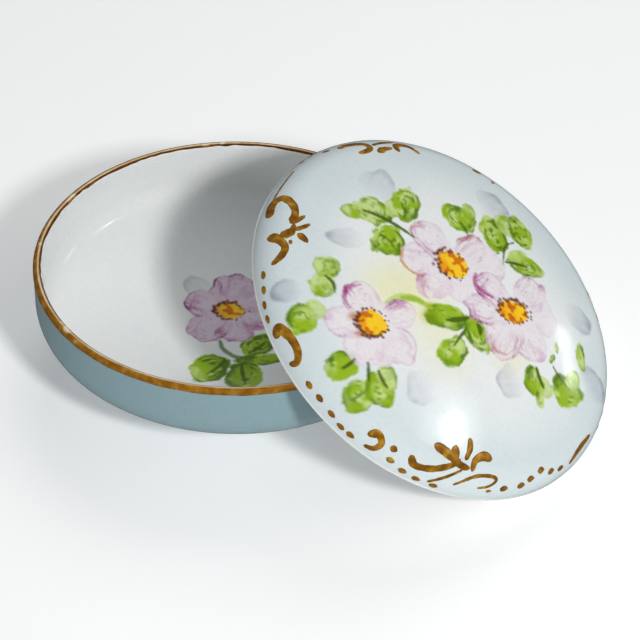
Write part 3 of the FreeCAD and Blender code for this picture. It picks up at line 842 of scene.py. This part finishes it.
def attribute(tree, name):
    """What is stored on the mesh's points under a name."""
    node = tree.nodes.new("ShaderNodeAttribute")
    node.attribute_name = name
    return node.outputs


def noise(tree, scale, detail):
    """Noise in the object's own space; scale is in lumps per metre."""
    place = tree.nodes.new("ShaderNodeTexCoord")
    node = tree.nodes.new("ShaderNodeTexNoise")
    node.inputs["Scale"].default_value = scale
    node.inputs["Detail"].default_value = detail
    tree.links.new(place.outputs["Object"], node.inputs["Vector"])
    return node.outputs["Fac"]


def spread(tree, source, low, high, source_low=0.3, source_high=0.7):
    """source as low to high.  Most of a noise lies between 0.3 and 0.7."""
    node = tree.nodes.new("ShaderNodeMapRange")
    limits = {"From Min": source_low, "From Max": source_high, "To Min": low, "To Max": high}
    for name, value in limits.items():
        node.inputs[name].default_value = value
    tree.links.new(source, node.inputs["Value"])
    return node.outputs["Result"]


def ramp(tree, source, *stops):
    """source as a colour, by (position, colour) stops; the two ends come first."""
    node = tree.nodes.new("ShaderNodeValToRGB")
    elements = node.color_ramp.elements
    for k, (position, colour) in enumerate(stops):
        element = elements[k] if k < 2 else elements.new(position)
        element.position = position
        element.color = (*colour, 1)
    tree.links.new(source, node.inputs["Fac"])
    return node.outputs["Color"]


def blend(tree, factor, under, over, kind):
    """A colour with a fixed colour put over it by factor."""
    node = tree.nodes.new("ShaderNodeMix")
    node.data_type = "RGBA"
    node.blend_type = kind
    node.inputs["B"].default_value = (*over, 1)
    tree.links.new(factor, node.inputs["Factor"])
    tree.links.new(under, node.inputs["A"])
    return node.outputs["Result"]


def bump(tree, shader, height, distance, strength):
    """Roughens the shader's surface by height, up to a distance in metres."""
    node = tree.nodes.new("ShaderNodeBump")
    node.inputs["Distance"].default_value = distance
    node.inputs["Strength"].default_value = strength
    tree.links.new(height, node.inputs["Height"])
    tree.links.new(node.outputs["Normal"], shader.inputs["Normal"])


def glaze(name):
    """Glossy porcelain glaze over the paint, with a slight ripple and fine unevenness.
    The "bare" attribute is the roughness where there is no glaze."""
    material, tree, shader = new_material(name)
    cloud = spread(tree, noise(tree, 900, 4), 0.0, 0.8)
    tint = blend(tree, cloud, attribute(tree, "paint")["Color"], (0.93, 0.94, 0.95), "MULTIPLY")
    tree.links.new(tint, shader.inputs["Base Color"])
    roughness = tree.nodes.new("ShaderNodeMath")
    roughness.operation = "MAXIMUM"
    tree.links.new(spread(tree, noise(tree, 260, 3), 0.07, 0.16), roughness.inputs[0])
    tree.links.new(attribute(tree, "bare")["Fac"], roughness.inputs[1])
    tree.links.new(roughness.outputs["Value"], shader.inputs["Roughness"])
    shader.inputs["IOR"].default_value = 1.52
    bump(tree, shader, noise(tree, 110, 2), 0.4 * MM, 0.12)
    return material


def gold(name, dark, middle, bright, metallic, polish, grain_height):
    """Fired liquid gold, brushed on unevenly, bare in places.  polish is its roughness, from
    and to.  The attribute of wear and painted light, where a piece has one, is 1 at bare patches
    and at the rim's painted highlight, and -1 at the rim's painted dark reflection."""
    material, tree, shader = new_material(name)
    wear_and_sheen = attribute(tree, "wear_and_sheen")["Fac"]
    # the gold's uneven tone, paled by wear and by the rim's painted highlight, darkened at its painted
    # dark reflection
    tone_and_sheen = tree.nodes.new("ShaderNodeMath")
    tone_and_sheen.operation = "MULTIPLY_ADD"
    tone_and_sheen.inputs[1].default_value = 0.5
    tree.links.new(wear_and_sheen, tone_and_sheen.inputs[0])
    tree.links.new(noise(tree, 420, 5), tone_and_sheen.inputs[2])
    fired = ramp(tree, tone_and_sheen.outputs["Value"],
                 (0.0, DARK_REFLECTION_GOLD), (0.72, bright), (0.30, dark), (0.52, middle))
    tree.links.new(blend(tree, wear_and_sheen, fired, PALE_WEAR_AND_SHEEN, "MIX"), shader.inputs["Base Color"])
    tree.links.new(spread(tree, wear_and_sheen, metallic, 0.15, 0, 1), shader.inputs["Metallic"])
    tree.links.new(spread(tree, noise(tree, 1500, 3), *polish), shader.inputs["Roughness"])
    bump(tree, shader, noise(tree, 2200, 3), grain_height, 0.5)
    return material


def floor_material():
    """Matt white that glows a little, for an even pale ground."""
    material, tree, shader = new_material("pale_floor")
    pale = ramp(tree, noise(tree, 9, 3), (0.0, (0.93, 0.93, 0.93)), (1.0, (0.96, 0.96, 0.96)))
    tree.links.new(pale, shader.inputs["Base Color"])
    shader.inputs["Roughness"].default_value = 0.9
    shader.inputs["Emission Color"].default_value = (1, 1, 1, 1)
    shader.inputs["Emission Strength"].default_value = 0.20
    return material


# ---- pieces
FOOT_ROUGHNESS = 0.75
RING_TIP_ROUGHNESS = 0.6


def set_paint(piece, colour, bare):
    """Stores each point's painted colour and its bare roughness, 0 where it is glazed."""
    mesh = piece.data
    paint = mesh.attributes.new("paint", "FLOAT_COLOR", "POINT")
    rgba = np.ones((len(mesh.vertices), 4), np.float32)
    rgba[:, :3] = colour
    paint.data.foreach_set("color", rgba.ravel())
    unglazed = mesh.attributes.new("bare", "FLOAT", "POINT")
    unglazed.data.foreach_set("value", np.asarray(bare, np.float32))


def make_lid():
    """The lid's porcelain; the tip of its ring is unglazed."""
    points, faces = lathe(lid_outline(), lid_spacing)
    colour = paint_lid(points)
    piece = mesh_object("lid_porcelain", leaning(points), [face[::-1] for face in faces])
    ring_tip = points[:, 2] < -RING_DEPTH + 0.5
    set_paint(piece, colour, ring_tip * RING_TIP_ROUGHNESS)
    piece.data.materials.append(glaze("lid_glaze"))
    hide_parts("lid")
    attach(piece, "lid")


COARSE = (1.2, 320)     # for plain places: the gap between a ring's points, and the most of them
PAINTED_FLOOR = 44      # how far out the dish's painted floor is finely meshed


def lid_spacing(radius, level):
    """Fine on the painted dome, coarse under it."""
    if level < dome_level(radius) - SKIN and radius < LID_RADIUS - 0.1:
        return COARSE
    return 0.46, 640


def dish_spacing(radius, level):
    """Fine on the painted floor, coarse elsewhere."""
    if radius < PAINTED_FLOOR:
        floor = BASE_MIDDLE - math.sqrt((BASE_ROUND - WALL) ** 2 - radius ** 2)
        if level > floor - 0.2:
            return 0.42, 640
    return COARSE


def make_dish():
    """The dish's porcelain; the foot ring's underside is unglazed."""
    points, faces = lathe(dish_outline(), dish_spacing)
    colour = paint_dish(points)
    piece = mesh_object("dish_porcelain", points, faces)
    foot = points[:, 2] < 0.35
    set_paint(piece, colour, foot * FOOT_ROUGHNESS)
    piece.data.materials.append(glaze("dish_glaze"))
    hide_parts("dish")
    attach(piece, "dish")


def make_rim_gold():
    """The gold band on the dish's rim, polished."""
    colours = srgb(172, 104, 18), srgb(200, 134, 34), srgb(236, 182, 80)
    material = gold("polished_gold", *colours, 0.6, (0.16, 0.26), 0.02 * MM)
    points, turns, faces = rim_gilding()
    piece = mesh_object("rim_gilding", points, faces)
    # bare patches, and painted light: a highlight along the rim's top and a dark reflection along its
    # inner edge
    wear_and_sheen = piece.data.attributes.new("wear_and_sheen", "FLOAT", "POINT")
    wear_and_sheen.data.foreach_set("value", rim_wear_and_sheen(points, turns).astype(np.float32))
    piece.data.materials.append(material)
    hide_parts("dish_gilding")
    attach(piece, "dish")


def make_lid_gold():
    """The gold strokes on the lid, duller and rougher."""
    colours = srgb(122, 76, 10), srgb(160, 108, 18), srgb(214, 164, 50)
    material = gold("brushed_gold", *colours, 0.35, (0.26, 0.42), 0.06 * MM)
    parts = [gold_stroke(seed, *stroke) for seed, stroke in enumerate(gold_strokes(), 400)]
    points, faces = joined(parts)
    piece = mesh_object("lid_gilding", leaning(points), faces)
    piece.data.materials.append(material)
    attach(piece, "lid")


# ---- camera and light
def direction(azimuth, elevation):
    """Unit vector from the object towards a place on the sky; azimuth 0 is in front, at -Y."""
    a, e = math.radians(azimuth), math.radians(elevation)
    return Vector((math.sin(a) * math.cos(e), -math.cos(a) * math.cos(e), math.sin(e)))


CAMERA_LENS = 124.2
CAMERA_SENSOR = 36
CAMERA_AIM = (27.56, -2.4, 22.44)
CAMERA_BACK = direction(19.21, 39.62)
CAMERA_DISTANCE = 654
CAMERA_ROLL = math.radians(1.91)


def make_camera():
    """A long lens, in front and above, a little to the right."""
    data = bpy.data.cameras.new("camera")
    data.lens = CAMERA_LENS
    data.sensor_width = CAMERA_SENSOR
    camera = placed("camera", data)
    aim = Vector(CAMERA_AIM) * MM
    roll = Matrix.Rotation(CAMERA_ROLL, 4, "Z")
    turn = CAMERA_BACK.to_track_quat("Z", "Y").to_matrix().to_4x4() @ roll
    camera.matrix_world = Matrix.Translation(aim + CAMERA_BACK * (CAMERA_DISTANCE * MM)) @ turn
    bpy.context.scene.camera = camera


LIGHT_AIM = (30, 0, 20)


def softbox(name, azimuth, elevation, distance, size, power, does, shape="RECTANGLE"):
    """An area light; distance and size are in metres.  does says what it does: it lights the
    surfaces, "shade", or it only shows in the gloss, "shine"."""
    data = bpy.data.lights.new(name, "AREA")
    data.shape = shape
    data.size, data.size_y = size
    data.energy = power
    light = placed(name, data)
    away = direction(azimuth, elevation)
    light.location = Vector(LIGHT_AIM) * MM + away * distance
    light.rotation_euler = away.to_track_quat("Z", "Y").to_euler()
    light.visible_glossy = does == "shine"
    light.visible_diffuse = does == "shade"


def make_light():
    """Soft lights that shade, others that shine in the glaze, and a pale sky."""
    softbox("key", 46, 37, 1.1, (0.13, 0.13), 7.4, "shade")
    softbox("back", -165, 48, 1.1, (0.6, 0.6), 3.0, "shade")
    softbox("side_fill", 100, 52, 1.1, (0.9, 0.9), 1.4, "shade")
    softbox("front_fill", -42, 7, 1.1, (0.7, 0.22), 1.5, "shade")
    softbox("window", 113, 35.5, 1.2, (0.15, 0.09), 0.28, "shine", "ELLIPSE")
    softbox("window_halo", 113, 36, 1.3, (0.36, 0.24), 0.42, "shine", "ELLIPSE")
    softbox("low_strip", 137, 14, 1.2, (0.20, 0.06), 0.22, "shine")
    world = bpy.data.worlds.new("studio")
    world.use_nodes = True
    tree = world.node_tree
    background = tree.nodes["Background"]
    place = tree.nodes.new("ShaderNodeTexCoord")
    height = tree.nodes.new("ShaderNodeSeparateXYZ")
    tree.links.new(place.outputs["Generated"], height.inputs["Vector"])
    sky = spread(tree, height.outputs["Z"], 0.11, 0.18, -0.1, 0.9)
    tree.links.new(sky, background.inputs["Strength"])
    background.inputs["Color"].default_value = (0.93, 0.98, 1.0, 1)
    bpy.context.scene.world = world
    bpy.context.scene.view_settings.view_transform = "Standard"


def make_floor():
    """A square of ground, just under the foot ring.  It doesn't show in the glaze."""
    mesh = bpy.data.meshes.new("floor")
    half, level = 3000 * MM, -0.2 * MM
    corners = [(-half, -half, level), (half, -half, level), (half, half, level), (-half, half, level)]
    mesh.from_pydata(corners, [], [(0, 1, 2, 3)])
    mesh.materials.append(floor_material())
    floor = placed("floor", mesh)
    floor.visible_glossy = False


make_camera()
make_light()
make_floor()
make_dish()
make_rim_gold()
make_lid()
make_lid_gold()
